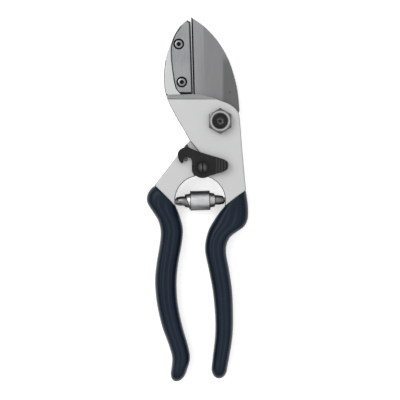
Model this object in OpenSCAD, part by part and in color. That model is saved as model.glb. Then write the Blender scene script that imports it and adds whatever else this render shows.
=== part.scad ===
// Anvil pruning shears, closed and latched, lying on their back.
// X is across the handles, Y runs from the grips to the jaws, Z is up from the
// surface that the tool lies on.  The pivot axis is X = Y = 0.

/* [Reach] */
// Pivot axis to the end of the longer grip
handle_reach = 152; // [120:1:190]
// Pivot axis to the tip of the blade
jaw_reach = 61; // [50:0.5:76]

/* [Castings] */
// Thickness of the rear arm where the two arms lap at the pivot
rear_lap_t = 4.4; // [3.6:0.1:5.6]
// Thickness of the front arm where it lies over the blade
front_lap_t = 4.6; // [3.8:0.1:5.8]
// Clearance around the rear arm's eye inside the front arm
eye_gap = 0.5; // [0.3:0.1:0.8]
// Radius of the round spring window between the arms
window_r = 14.7; // [13.5:0.1:15.2]
// Radius of the lobe that carries the catch screw
catch_lobe_r = 5.0; // [4.4:0.1:5.2]
// Gap between the two castings where they pass each other
arm_gap = 0.4; // [0.3:0.05:0.8]

/* [Grips] */
// Thickness of each dipped grip
grip_t = 14.8; // [13.6:0.1:18]
// Thickness of the casting's tang inside a grip
tang_t = 9; // [7:0.1:9.6]
// Grip material on each side of the tang
tang_inset = 2.6; // [2.2:0.1:3.4]

/* [Blade] */
// Blade thickness
blade_t = 3; // [2.4:0.1:3.6]
// Width of the shallow ground bevel
bevel_w = 7; // [4:0.5:9]
// Width of the steep honed edge
hone_w = 1; // [0.6:0.1:1.4]
// Thickness left where the honed edge starts
hone_t = 1.5; // [1:0.1:2]
// Thickness of the cutting edge itself
edge_t = 0.16; // [0.1:0.02:0.3]
// Gap between the cutting edge and the anvil when closed
cut_gap = 0.15; // [0.1:0.05:0.3]
// Radius of the blade's round root
blade_root_r = 11.2; // [10.8:0.1:11.3]
// Radius of the blade rivets
rivet_r = 1.3; // [1:0.1:1.4]
// Distance of the blade rivets from the pivot
rivet_at = 9.6; // [9.4:0.1:9.8]

/* [Anvil] */
// Thickness of the anvil plate
anvil_t = 5.4; // [4.4:0.1:6.4]
// Dark gap between the anvil plate and the casting around it
anvil_gap = 0.6; // [0.4:0.1:0.9]
// Height of the jaw rim above the anvil plate's face
rim_rise = 0.6; // [0.2:0.1:1.2]
// Shank radius of the anvil screws
anvil_screw_r = 1.5; // [1.2:0.1:1.6]
// Head radius of the anvil screws
anvil_head_r = 2.3; // [2.1:0.1:2.5]
// Head height of the anvil screws
anvil_head_h = 1.7; // [1.4:0.1:2]
// Depth of the anvil plate's counterbores
anvil_bore_h = 2.2; // [2:0.1:2.5]
// Radius of the anvil plate's counterbores
anvil_bore_r = 3.1; // [2.8:0.1:3.3]
// Hexagon socket in each anvil screw, across its flats
anvil_key_af = 2.4; // [2:0.1:2.8]

/* [Pivot] */
// Radius of the pivot bolt's shank
bolt_r = 4; // [3.4:0.1:4.6]
// Radius of the pivot bolt's low round head
bolt_head_r = 7; // [6.4:0.1:7.4]
// Depth of the recess for the bolt head in the rear arm
head_recess = 1.45; // [1.2:0.05:1.8]
// Thickness of the washer under the bolt head
head_washer_t = 0.4; // [0.3:0.05:0.6]
// Wall of the bronze bush that the rear arm turns on
bush_wall = 1.5; // [1:0.1:1.8]
// Thickness of the thrust washer between the blade and the front arm
thrust_t = 0.36; // [0.2:0.02:0.6]
// Width across the flats of the pivot nut
nut_af = 13; // [12:0.1:14]
// Height of the pivot nut
nut_h = 5; // [4:0.1:6.5]
// Hexagon socket in the end of the bolt, across its flats
socket_af = 4; // [3:0.1:4.6]
// Depth of that socket below the top of the nut
socket_h = 4; // [2.5:0.1:4.5]
// How far the end of the bolt stays below the top of the nut
bolt_short = 0.9; // [0.4:0.1:1.5]
// Radius of the thrust washer
thrust_r = 8.4; // [7:0.1:8.8]
// Height of the bevel on the corners of the nut
nut_bevel = 0.8; // [0.4:0.1:1.2]
// Radial running clearance of the turning fits
run_gap = 0.05; // [0.03:0.01:0.08]
// End play beside each washer
play = 0.02; // [0.01:0.01:0.05]

/* [Catch] */
// Thickness of the catch lever
catch_t = 2.6; // [2:0.1:3]
// Radius of the raised boss round the catch screw
catch_boss_r = 4.6; // [4.2:0.1:5]
// Height of that boss above the lever
catch_boss_h = 0.6; // [0.4:0.1:1]
// How deep the catch screw's head sits in the lever
catch_sink = 0.4; // [0.2:0.1:0.8]
// Radius of the washer under the catch
catch_washer_r = 4.2; // [3.6:0.1:4.6]
// Width of the catch screw's slot
slot_w = 0.8; // [0.6:0.1:1]
// Depth of the catch screw's slot
slot_h = 0.7; // [0.5:0.1:0.9]
// Length of the catch peg inside the casting
peg_hold = 3; // [2:0.1:4]
// Thickness of the washer that holds the catch off the casting
catch_washer_t = 1; // [0.8:0.1:1.4]
// Gap between the catch peg's top and the lever above it
peg_gap = 0.15; // [0.1:0.05:0.3]
// Radius of the catch peg
peg_r = 1; // [0.8:0.1:1.1]
// Shank radius of the catch screw
catch_screw_r = 2; // [1.6:0.1:2.2]
// Head radius of the catch screw
catch_head_r = 2.9; // [2.6:0.1:3.2]
// Head height of the catch screw
catch_head_h = 1.4; // [1.2:0.1:1.8]
// Height of the ribbed thumb pad above the lever
pad_h = 1.2; // [0.8:0.1:1.6]
// Spacing of the grooves across the thumb pad
groove_step = 1.6; // [1.2:0.1:2]
// Width of each groove
groove_w = 0.7; // [0.4:0.1:0.9]

/* [Spring] */
// Thickness of the volute spring's strip
strip_t = 0.8; // [0.6:0.05:1]
// Radius of the pegs that locate the spring
seat_r = 1.5; // [1.2:0.1:1.7]
// Length of the pegs that locate the spring
seat_len = 3; // [2:0.1:4]

/* [Hidden] */
$fn = 48;
spline_steps = 4;
cut = 1;
sink = 0.5;
over = 0.01;
// Floor left under a blind hole, and the slack round a part that only lies in its recess
floor_t = 0.6;
slack = 0.3;
washer_slack = 0.1;

// Levels, from the surface up
arm_t = rear_lap_t + blade_t + thrust_t + 2 * play + front_lap_t;
z_back = (grip_t - arm_t) / 2;
z_blade = z_back + rear_lap_t;
z_blade_top = z_blade + blade_t;
z_front = z_blade_top + thrust_t + 2 * play;
z_face = z_front + front_lap_t;
z_mid = grip_t / 2;
z_cut = z_blade + blade_t / 2;
z_anvil = z_cut - anvil_t / 2;
z_anvil_top = z_anvil + anvil_t;
z_rim = z_anvil_top + rim_rise;
z_shoulder = z_front - slack;
z_recess = z_back + head_recess;
z_catch = z_face + catch_washer_t + 2 * play;
z_catch_top = z_catch + catch_t;
bush_r = bolt_r + run_gap + bush_wall;

// The outlines are drawn at these two reaches and stretched to the ones set above
drawn_handle = 152;
drawn_jaw = 61;
grip_y = -38;
anvil_y = 16.1;
handle_k = (handle_reach + grip_y) / (drawn_handle + grip_y);
jaw_k = (jaw_reach - anvil_y) / (drawn_jaw - anvil_y);
function reach(p) =
    p.y < grip_y ? [p.x, grip_y + (p.y - grip_y) * handle_k] :
    p.y > anvil_y ? [p.x, anvil_y + (p.y - anvil_y) * jaw_k] : p;

function along(a, b, c, d, t) =
    (2 * b + (c - a) * t + (2 * a - 5 * b + 4 * c - d) * t * t
     + (3 * b - a - 3 * c + d) * t * t * t) / 2;
// A smooth line through the points p
function curve(p, n = spline_steps) = let (m = len(p))
    [for (i = [0 : m - 2], k = [0 : n - 1])
        along(p[max(i - 1, 0)], p[i], p[i + 1], p[min(i + 2, m - 1)], k / n),
     p[m - 1]];
// A smooth closed line through the points p
function loop(p, n = spline_steps) = let (m = len(p))
    [for (i = [0 : m - 1], k = [0 : n - 1])
        along(p[(i + m - 1) % m], p[i], p[(i + 1) % m], p[(i + 2) % m], k / n)];

// Places
window_at = [-11.6, -46.4];
catch_at = [-10.1, -27];
peg_at = [-19.8, -22.5];
anvil_screws_at = [reach([-24.1, 45.2]), reach([-22.3, 23])];
rivet_angles = [125, 48];
spring_left = window_at + [0.6 - window_r, -0.2];
spring_right = window_at + [window_r - 0.7, 0.6];
spring_axis = spring_right - spring_left;
spring_turn = atan2(spring_axis.y, spring_axis.x);

// Outer edge of the head and jaw, from the crotch to the tip
head_edge = [[-17.8, -11], [-21.1, -4.9], [-24, -0.2], [-26.9, 5], [-29.6, 10.3],
             [-31.6, 15.4], [-32.6, 20.6], [-32.8, 27], [-32.2, 34], [-31, 39.4],
             [-29.3, 43.8], [-28, 47.4], [-26.5, 50.9], [-24.5, 54.2], [-22, 57.4],
             [-19, 59.9]];
// Top edge of the front casting where it lies over the blade
lap_edge = [[-15.2, 15.9], [-10, 15.3], [-5, 13.8], [0.6, 12], [5.2, 10.2], [8.4, 8],
            [10.6, 5.2], [11.5, 1.5]];
right_edge = [[11.9, -3.7], [12.9, -16], [14, -28.3]];
left_edge = [[-17.8, -11.3], [-20.6, -14.5], [-25.7, -21.2], [-31, -28.2], [-35.8, -34.4]];
// Eye of the rear arm, from the crotch over the pivot to the split between the arms
eye_edge = [[-13.4, -6.6], [-12.7, 0], [-11.4, 6.6], [-7.4, 11.6], [-1, 13.2], [5, 11.4],
            [9.5, 6.4], [11.2, 0.4], [10.2, -5.2], [7.3, -10]];
// Left edge of the anvil plate, from its lower corner to its tip
anvil_edge = [[-25.2, 18.9], [-26.2, 22.6], [-27.3, 29.6], [-28.1, 37], [-28.2, 42.8],
              [-27.3, 46.8], [-25.9, 50.3], [-23.9, 53.5], [-21.4, 56.7], [-18.9, 58.9]];
anvil_foot = [-22.8, anvil_y];
anvil_heel = [-15.8, anvil_y];
anvil_tip = [-17.2, 58.3];
// Spine of the blade, from the tip to the root
spine = [[-16.9, 61], [-9.6, 55.9], [-2.8, 48.9], [2, 41.9], [5.5, 34.9], [7.9, 27.8],
         [9.7, 20.8], [10.8, 13.8], [11.4, 6.2]];
// Pairs of points on the outer and inner side of each grip, from the arm to the end
left_pairs = [
    [[-38.2, -37.4], [-25.7, -50]], [[-40.7, -39.7], [-25.4, -50.7]],
    [[-42.4, -42.6], [-24.9, -51.6]],
    [[-42.8, -46.4], [-24.2, -53.4]], [[-41.2, -50], [-23.4, -55.5]],
    [[-38.6, -53.9], [-22.7, -57.8]], [[-36, -58.4], [-22, -60.6]],
    [[-34.7, -64.5], [-21.6, -65]], [[-35.3, -72], [-22.4, -72]],
    [[-37, -82], [-24.2, -82]], [[-38, -93], [-25.3, -93]],
    [[-37, -106], [-24.7, -106]], [[-34, -119.5], [-22, -119.5]],
    [[-30.2, -130], [-18.8, -130.5]], [[-28, -138], [-17.5, -138.5]],
    [[-28.6, -145.2], [-19.4, -145.6]]];
right_pairs = [
    [[15.1, -40.2], [2.3, -50]], [[16, -46], [0.2, -52.4]],
    [[16.5, -51.5], [-1.9, -55.2]], [[16.2, -57.2], [-3.8, -58.2]],
    [[14, -61.5], [-5.3, -60.6]], [[10.2, -64.3], [-6.6, -63.2]],
    [[6.4, -67.2], [-7.7, -66.6]], [[4.1, -71.4], [-8.6, -71.2]],
    [[3.6, -77], [-8.6, -77]], [[5.4, -87], [-6.5, -87]],
    [[7.1, -99], [-4.3, -99]], [[7.7, -113], [-2.9, -113]],
    [[7.4, -125], [-2.9, -125]], [[5.8, -136], [-4.1, -136]],
    [[4.3, -144], [-5, -144]]];
left_end = [-1.6, -6.6];
right_end = [-0.3, -6.3];
// Outline of the catch: along the tab, round the pivot, the mouth, the hook and back
catch_edge = [[-12, -17.9], [-7, -19.5], [-2.3, -20.9], [2, -22.2], [4.3, -23.8], [4.8, -25.8],
              [4.3, -27.8], [2.6, -29.2], [-1.8, -30.6], [-5.8, -31.8], [-8, -32.8],
              [-10.1, -33.2], [-12.4, -32.8], [-14.7, -31.3], [-16, -29], [-16.4, -26.4],
              [-16.4, -23.6], [-16.9, -21.9], [-18.6, -21.2], [-20.6, -21.4], [-21.2, -23],
              [-21.6, -24.2], [-22.3, -24.6], [-23.2, -23.9], [-24.2, -22], [-24.7, -19.8],
              [-24.3, -18], [-23, -16.4], [-21, -15.4], [-19, -15.2], [-16.8, -16],
              [-14.4, -17]];

// ---- Shared shapes ----------------------------------------------------------

module slab(z0, z1) { translate([0, 0, z0]) linear_extrude(z1 - z0) children(); }
module drill(at, r, z0, z1) {
    translate([at.x, at.y, z0]) cylinder(r = r, h = z1 - z0);
}
module hexagon(af, z0, z1) {
    translate([0, 0, z0]) rotate([0, 0, 30]) cylinder(d = af / cos(30), h = z1 - z0, $fn = 6);
}
grind_run = 5;
grind_over = 0.1;
// What grinding takes off one side of the blade along the straight edge a-b: the
// steep honed edge, then the shallow bevel.  s is 1 for the upper side, -1 for the lower
module grind(a, b, s) {
    d = b - a;
    hone_k = (hone_t - edge_t) / 2 / hone_w;
    bevel_k = (blade_t - hone_t) / 2 / (bevel_w - hone_w);
    low = edge_t / 2 - grind_over * hone_k;
    translate([a.x, a.y, z_cut]) rotate([0, 0, atan2(d.y, d.x) - 90])
        translate([0, norm(d) + grind_run, 0]) rotate([90, 0, 0])
            linear_extrude(norm(d) + 2 * grind_run)
                polygon([for (p = [[-grind_run, low], [-grind_over, low], [hone_w, hone_t / 2],
                                   [bevel_w + grind_over / bevel_k, blade_t / 2 + grind_over],
                                   [bevel_w, 2 * blade_t], [-grind_run, 2 * blade_t]])
                    [p.x, s * p.y]]);
}

// ---- Grips and tangs --------------------------------------------------------

function side(pairs, k) = curve([for (p = pairs) reach(p[k])], 3);
function power(v, e) = sign(v) * pow(abs(v), e);
grip_sides = 28;
grip_square = 0.78;
cap_rings = 6;
tang_root = 2;
// One ring of a grip between the side points a and b, at a share k of full size
function ring(a, b, k, shift) = let (c = (a + b) / 2 + shift, h = (b - a) / 2)
    [for (i = [0 : grip_sides - 1]) let (q = 360 * i / grip_sides)
        let (p = c + h * k * power(cos(q), grip_square))
        [p.x, p.y, z_mid + grip_t / 2 * k * power(sin(q), grip_square)]];

module grip_body(pairs, end) {
    a = side(pairs, 0);
    b = side(pairs, 1);
    last = len(a) - 1;
    rings = concat(
        [for (i = [0 : last]) ring(a[i], b[i], 1, [0, 0])],
        [for (i = [1 : cap_rings]) let (q = 88 * i / cap_rings)
            ring(a[last], b[last], cos(q), end * sin(q))]);
    n = grip_sides;
    m = len(rings);
    polyhedron(
        points = [for (r = rings, p = r) p],
        faces = concat(
            [[for (i = [0 : n - 1]) i]],
            [for (j = [0 : m - 2], i = [0 : n - 1])
                [j * n + i, (j + 1) * n + i, (j + 1) * n + (i + 1) % n]],
            [for (j = [0 : m - 2], i = [0 : n - 1])
                [j * n + i, (j + 1) * n + (i + 1) % n, j * n + (i + 1) % n]],
            [[for (i = [n - 1 : -1 : 0]) (m - 1) * n + i]]));
}

// The tang inside a grip keeps the same thickness of grip around it everywhere
module tang(pairs) {
    a = side(pairs, 0);
    b = side(pairs, 1);
    stop = len(a) - 3;
    back = a[0] + b[0] - a[3] - b[3];
    root = back / norm(back) * tang_root;
    function inset(p, q) = p + (q - p) / norm(q - p) * tang_inset;
    slab(z_mid - tang_t / 2, z_mid + tang_t / 2)
        polygon(concat([inset(b[0], a[0]) + root, inset(a[0], b[0]) + root],
                       [for (i = [0 : stop]) inset(a[i], b[i])],
                       [for (i = [stop : -1 : 0]) inset(b[i], a[i])]));
}

module anvil_grip() {
    color("#232b37") difference() {
        grip_body(right_pairs, right_end);
        tang(right_pairs);
    }
}
module blade_grip() {
    color("#232b37") difference() {
        grip_body(left_pairs, left_end);
        tang(left_pairs);
    }
}

// ---- Castings ---------------------------------------------------------------

root_y = 0.5;
root_x = -16.6;
wall_y = anvil_y - anvil_gap;
slope_y = 12.6;
split_top = [3.5, -14.8];
split_low = [-9.6, -31.9];
seat_root = 2;

module window() { drill(window_at, window_r, z_back - cut, z_face + cut); }
module spring_seat(at, angle) {
    translate([at.x, at.y, z_mid]) rotate([0, 0, angle]) rotate([0, 90, 0])
        translate([0, 0, -seat_root]) cylinder(r = seat_r, h = seat_len + seat_root);
}

module front_plate() {
    polygon(concat(
        [[-13.4, -22.6], [-12.4, -17.6]],
        curve([for (i = [0 : 5]) head_edge[i]]),
        [[root_x, anvil_y - 0.2]],
        curve(lap_edge), [right_edge[0], right_edge[1], [2, -30], catch_at]));
}
module jaw_outline() {
    polygon(concat(
        curve([for (p = head_edge) reach(p)]),
        [reach(anvil_tip) + [-anvil_gap, 0], [anvil_heel.x - anvil_gap, anvil_y], [root_x, anvil_y],
         [root_x, -11]]));
}
module anvil_outline(grow) {
    polygon(concat(
        [anvil_foot + [0, -grow]],
        curve([for (p = anvil_edge) reach(p) + [-grow, 0]]),
        [reach(anvil_tip) + [grow, grow], anvil_heel + [grow, -grow]]));
}
module right_handle() {
    polygon(concat(
        [split_low + [arm_gap, 0], split_top + [arm_gap, 0], [12.1, -6]],
        [for (i = [1 : 2]) right_edge[i]],
        [reach(right_pairs[0][0]), reach(right_pairs[0][1]), window_at]));
}

module anvil_arm_casting() {
    color("#c9cbca") difference() {
        union() {
            slab(z_front, z_face) front_plate();
            drill(catch_at, catch_lobe_r, z_front, z_face);
            difference() {
                slab(z_back, z_face) right_handle();
                drill([0, 0], norm(eye_edge[8]) + eye_gap, z_back - cut, z_front);
            }
            slab(z_back, z_face) intersection() {
                jaw_outline();
                translate([-60, root_y]) square([60 + root_x, wall_y - root_y]);
            }
            slab(z_back, z_anvil) intersection() {
                jaw_outline();
                translate([-60, root_y]) square([60, 120]);
            }
            slab(z_back, z_rim) difference() {
                intersection() {
                    jaw_outline();
                    translate([-60, wall_y - 1]) square([60 + anvil_foot.x, 120]);
                }
                anvil_outline(anvil_gap);
            }
            tang(right_pairs);
            spring_seat(spring_right + [slack, 0], 180 + spring_turn);
        }
        // Slope from the head down to the jaw
        translate([-60, 0, 0]) rotate([90, 0, 90]) linear_extrude(120)
            polygon([[slope_y, z_face], [anvil_y, z_rim], [anvil_y + 2, z_rim],
                     [anvil_y + 2, z_face + cut], [slope_y, z_face + cut]]);
        window_without_seat(spring_right + [slack, 0], 180 + spring_turn);
        drill([0, 0], bolt_r + run_gap, z_front - cut, z_face + cut);
        drill(catch_at, catch_screw_r, z_front + floor_t, z_face + cut);
        for (p = anvil_screws_at) drill(p, anvil_screw_r, z_back + floor_t, z_anvil + cut);
    }
}
module window_without_seat(at, angle) {
    difference() {
        window();
        spring_seat(at, angle);
    }
}

module left_arm(eye = []) {
    difference() {
        polygon(concat(
            [split_low - [arm_gap, 0], split_top - [arm_gap, 0]], eye, left_edge,
            [reach(left_pairs[0][0]), reach(left_pairs[0][1]), window_at]));
        translate(window_at) circle(window_r);
    }
}
relief_low_r = 23.2;
relief_top_r = 25.4;
// Room over the rear arm for the front casting, over the whole swing
module arm_relief() {
    rotate_extrude()
        polygon([[0, z_shoulder], [relief_low_r, z_shoulder], [relief_top_r, z_face + over],
                 [relief_top_r, z_face + cut], [0, z_face + cut]]);
    slab(z_shoulder, z_face + cut)
        polygon([[0, -10], [-13, -16.4], [-14.4, -21], [-15.7, -24.6], [-15.9, -29],
                 [-14.8, -31.4], [-13.4, -34], [0, -34]]);
}
module blade_arm_casting() {
    color("#c6c8c7") difference() {
        union() {
            slab(z_back, z_blade) left_arm(curve([for (i = [9 : -1 : 0]) eye_edge[i]]));
            difference() {
                slab(z_blade, z_face) left_arm([[-12.8, -7]]);
                drill([0, 0], blade_root_r + arm_gap, z_blade - cut, z_face);
                arm_relief();
            }
            tang(left_pairs);
            spring_seat(spring_left - [slack, 0], spring_turn);
        }
        drill([0, 0], bolt_head_r + slack, z_back - cut, z_recess);
        drill([0, 0], bush_r, z_back, z_blade + cut);
        for (a = rivet_angles)
            drill(rivet_at * [cos(a), sin(a)], rivet_r, z_back - cut, z_blade + cut);
        drill(peg_at, peg_r, z_face - peg_hold, z_face + cut);
    }
}

// ---- Cutting parts ----------------------------------------------------------

edge_low = anvil_heel + [cut_gap, 0];
dimple_at = [5.7, 17];
dimple_r = 0.6;

module blade() {
    tip = reach(spine[0]);
    spine_line = curve([for (p = spine) reach(p)]);
    color("#86888b") difference() {
        union() {
            slab(z_blade, z_blade_top)
                polygon(concat([[-10, 0], edge_low], spine_line, [[9, 0]]));
            drill([0, 0], blade_root_r, z_blade, z_blade_top);
        }
        for (s = [-1, 1]) grind(edge_low, tip, s);
        drill([0, 0], bush_r, z_blade - cut, z_blade_top + cut);
        for (a = rivet_angles)
            drill(rivet_at * [cos(a), sin(a)], rivet_r, z_blade - cut, z_blade_top + cut);
        drill(dimple_at, dimple_r, z_blade_top - sink, z_blade_top + cut);
    }
}

module blade_rivets() {
    color("#9a9c9f") for (a = rivet_angles)
        drill(rivet_at * [cos(a), sin(a)], rivet_r, z_back, z_blade_top);
}

z_bore = z_anvil_top - anvil_bore_h;
key_floor = 0.5;
module anvil_plate() {
    color("#8d9094") difference() {
        slab(z_anvil, z_anvil_top) anvil_outline(0);
        for (p = anvil_screws_at) {
            drill(p, anvil_screw_r, z_anvil - cut, z_anvil_top + cut);
            drill(p, anvil_bore_r, z_bore, z_anvil_top + cut);
        }
    }
}

module anvil_screws() {
    color("#c4c6c8") for (p = anvil_screws_at) difference() {
        union() {
            drill(p, anvil_screw_r, z_back + floor_t, z_bore);
            drill(p, anvil_head_r, z_bore, z_bore + anvil_head_h);
        }
        translate([p.x, p.y, z_bore + key_floor])
            cylinder(d = anvil_key_af, h = anvil_head_h, $fn = 6);
    }
}

// ---- Pivot ------------------------------------------------------------------

z_bolt = z_face + nut_h - bolt_short;
nut_top_r = nut_af * 0.48;
nut_side_r = nut_af * 0.62;
module pivot_bolt() {
    color("#1d1d20") difference() {
        union() {
            drill([0, 0], bolt_head_r, 0, z_recess - head_washer_t - 2 * play);
            drill([0, 0], bolt_r, 0, z_bolt);
        }
        hexagon(socket_af, z_face + nut_h - socket_h, z_face + nut_h);
    }
}
module head_washer() {
    color("#a9abad") difference() {
        drill([0, 0], bolt_head_r - 2 * washer_slack, z_recess - head_washer_t - play, z_recess - play);
        drill([0, 0], bolt_r + washer_slack, 0, z_recess + cut);
    }
}
module pivot_bush() {
    color("#b08d57") difference() {
        drill([0, 0], bush_r, z_recess, z_blade_top);
        drill([0, 0], bolt_r + run_gap, z_back - cut, z_blade_top + cut);
    }
}
module thrust_washer() {
    color("#b4b6b8") difference() {
        drill([0, 0], thrust_r, z_blade_top + play, z_front - play);
        drill([0, 0], bolt_r + washer_slack, z_blade_top, z_front + cut);
    }
}
module pivot_nut() {
    color("#b9bbbd") difference() {
        intersection() {
            hexagon(nut_af, z_face, z_face + nut_h);
            rotate_extrude()
                polygon([[0, z_face - cut], [nut_side_r, z_face - cut],
                         [nut_side_r, z_face + nut_h - nut_bevel],
                         [nut_top_r, z_face + nut_h + over], [0, z_face + nut_h + over]]);
        }
        drill([0, 0], bolt_r, z_face - cut, z_face + nut_h + cut);
        rotate_extrude()
            polygon([[0, z_bolt], [bolt_r, z_bolt],
                     [bolt_r + bolt_short, z_face + nut_h + over], [0, z_face + nut_h + over]]);
    }
}

// ---- Catch ------------------------------------------------------------------

pad_x = -2.4;
groove_x = -1.6;
z_screw = z_catch_top - catch_sink + 2 * play;
module catch_lever() {
    color("#222225") difference() {
        union() {
            slab(z_catch, z_catch_top) polygon(loop(catch_edge, 3));
            slab(z_catch_top - sink, z_catch_top + pad_h) intersection() {
                polygon(loop(catch_edge, 3));
                translate([pad_x, -40]) square([20, 40]);
            }
            drill(catch_at, catch_boss_r, z_catch_top - sink, z_catch_top + catch_boss_h);
        }
        for (i = [0 : 3])
            translate([groove_x + groove_step * i, -40, z_catch_top + sink])
                cube([groove_w, 30, pad_h]);
        drill(catch_at, catch_head_r + slack, z_catch_top - catch_sink, z_catch_top + cut);
        drill(catch_at, catch_screw_r + run_gap, z_catch - cut, z_catch_top + cut);
    }
}
module catch_washer() {
    color("#3a3a3d") difference() {
        drill(catch_at, catch_washer_r, z_face, z_face + catch_washer_t);
        drill(catch_at, catch_screw_r, z_face - cut, z_catch + cut);
    }
}
module catch_screw() {
    color("#2b2b2e") difference() {
        union() {
            drill(catch_at, catch_screw_r, z_front + floor_t, z_catch_top);
            drill(catch_at, catch_head_r, z_screw, z_screw + catch_head_h);
        }
        translate([catch_at.x - slot_w / 2, catch_at.y - catch_boss_r, z_screw + catch_head_h - slot_h])
            cube([slot_w, 2 * catch_boss_r, 2]);
    }
}
module catch_peg() {
    color("#4a4a4d") drill(peg_at, peg_r, z_face - peg_hold, z_catch - peg_gap);
}

// ---- Spring -----------------------------------------------------------------

// Outline of the telescoped coils, as [share of the length, outer radius]
coil_steps = [[0, 2.7], [0.17, 2.7], [0.17, 4.7], [0.28, 4.7], [0.28, 5.8], [0.73, 5.8],
              [0.73, 4.6], [0.79, 4.6], [0.79, 2.7], [1, 2.7]];
module volute_spring() {
    long = norm(spring_axis);
    last = len(coil_steps) - 1;
    // The inner wall follows the outer steps, moved in by the strip's thickness
    inner = [for (i = [last : -1 : 0]) let (c = coil_steps[i], middle = (i > 0 && i < last))
        [c[1] - strip_t, c[0] * long + (middle ? (c[0] < 0.5 ? strip_t : -strip_t) : 0)]];
    color("#b7babd")
        translate([spring_left.x, spring_left.y, z_mid]) rotate([0, 0, spring_turn])
            rotate([0, 90, 0]) rotate_extrude()
                polygon(concat([for (c = coil_steps) [c[1], c[0] * long]], inner));
}

anvil_arm_casting();
anvil_grip();
anvil_plate();
anvil_screws();
blade_arm_casting();
blade_grip();
blade();
blade_rivets();
pivot_bolt();
pivot_nut();
pivot_bush();
thrust_washer();
head_washer();
catch_lever();
catch_screw();
catch_washer();
catch_peg();
volute_spring();
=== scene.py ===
"""Looks of the anvil pruning shears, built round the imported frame.

Sizes of the tool are in millimetres; the floor and the lamp are in metres.  X is
across the handles, Y runs from the grips to the jaws, Z is up from the surface that
the tool lies on.
"""
import math

import bmesh
import bpy
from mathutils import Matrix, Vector


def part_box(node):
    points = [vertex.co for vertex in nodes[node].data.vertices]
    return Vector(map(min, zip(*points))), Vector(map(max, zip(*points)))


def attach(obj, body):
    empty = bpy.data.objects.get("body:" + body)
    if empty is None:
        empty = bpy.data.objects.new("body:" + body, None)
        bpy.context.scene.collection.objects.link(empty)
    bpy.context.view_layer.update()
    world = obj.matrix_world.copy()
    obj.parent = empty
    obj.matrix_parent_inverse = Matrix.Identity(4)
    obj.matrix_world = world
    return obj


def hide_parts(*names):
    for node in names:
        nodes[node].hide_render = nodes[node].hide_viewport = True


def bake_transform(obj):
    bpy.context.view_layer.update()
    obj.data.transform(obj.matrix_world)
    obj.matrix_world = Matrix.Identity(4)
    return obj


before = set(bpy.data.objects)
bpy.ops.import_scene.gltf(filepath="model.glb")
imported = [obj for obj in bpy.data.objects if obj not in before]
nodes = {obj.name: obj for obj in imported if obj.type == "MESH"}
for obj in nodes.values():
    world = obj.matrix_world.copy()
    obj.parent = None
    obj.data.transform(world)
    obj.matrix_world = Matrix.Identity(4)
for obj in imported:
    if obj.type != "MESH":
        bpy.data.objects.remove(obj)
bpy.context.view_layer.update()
MM = 0.001


# ---- Places worked out from the frame ----------------------------------------

def low(node):
    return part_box(node)[0] / MM


def high(node):
    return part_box(node)[1] / MM


mid_z = high("anvil_grip").z / 2
back_z = low("blade_arm_casting").z
face_z = low("pivot_nut").z
blade_top = high("blade").z
blade_low = low("blade").z
anvil_low, anvil_high = low("anvil_plate"), high("anvil_plate")
nut_top = high("pivot_nut").z
screw_top = high("catch_screw").z
bolt_top = high("pivot_bolt").z
lever_low = low("catch_lever").z
pad_top = high("catch_lever").z
catch_at = (low("catch_screw") + high("catch_screw")) / 2
peg_at = (low("catch_peg") + high("catch_peg")) / 2
spring_low, spring_high = low("volute_spring"), high("volute_spring")
screws_low, screws_high = low("anvil_screws"), high("anvil_screws")
pivot_at = (0.0, 0.0)

# Depth of the bolt's socket below the top of the nut
SOCKET_DEEP = 4.0
# Radii of the anvil screws' heads and of their counterbores, and the counterbores' depth
SCREW_HEAD = 2.3
HEAD_BORE = 3.1
BORE_DEEP = 2.2
# Places of the two anvil screws
SCREWS = ((screws_low.x + SCREW_HEAD, screws_high.y - SCREW_HEAD),
          (screws_high.x - SCREW_HEAD, screws_low.y + SCREW_HEAD))


# ---- Node trees --------------------------------------------------------------

def feed(tree, made, inputs):
    """Sets the node's inputs; each is a constant or another node's output."""
    for key, value in inputs.items():
        if isinstance(value, bpy.types.NodeSocket):
            tree.links.new(value, made.inputs[key])
        else:
            made.inputs[key].default_value = value


def add(tree, kind, inputs=None, **props):
    """One node in the tree."""
    made = tree.nodes.new(kind)
    for key, value in props.items():
        setattr(made, key, value)
    feed(tree, made, inputs or {})
    return made


def maths(tree, operation, a, b=0.0):
    return add(tree, "ShaderNodeMath", {0: a, 1: b}, operation=operation).outputs[0]


def weighed(tree, a, share_a, b, share_b):
    """The sum of two values, each times its share."""
    return maths(tree, "ADD", maths(tree, "MULTIPLY", a, share_a),
                 maths(tree, "MULTIPLY", b, share_b))


def sockets(tree, inputs, outputs):
    """Named sockets of a group and its two end nodes."""
    for name, kind, value in inputs:
        made = tree.interface.new_socket(name=name, in_out="INPUT", socket_type=kind)
        if value is not None:
            made.default_value = value
    for name, kind in outputs:
        tree.interface.new_socket(name=name, in_out="OUTPUT", socket_type=kind)
    return tree.nodes.new("NodeGroupInput"), tree.nodes.new("NodeGroupOutput")


def effect(name, inputs, outputs, build):
    """A shader node group; build(tree, ins) returns its outputs by name."""
    tree = bpy.data.node_groups.new(name, "ShaderNodeTree")
    start, end = sockets(tree, inputs, outputs)
    for key, value in build(tree, start.outputs).items():
        tree.links.new(value, end.inputs[key])
    return tree


def noise(tree, place, scale, detail, rough):
    return add(tree, "ShaderNodeTexNoise", {
        "Vector": place, "Scale": scale, "Detail": detail, "Roughness": rough}).outputs["Fac"]


def span(tree, value, a, b, c=0.0, d=1.0, smooth=True):
    """value taken from the range a-b to c-d."""
    return add(tree, "ShaderNodeMapRange", {
        "Value": value, "From Min": a, "From Max": b, "To Min": c, "To Max": d},
        interpolation_type="SMOOTHSTEP" if smooth else "LINEAR").outputs["Result"]


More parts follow.
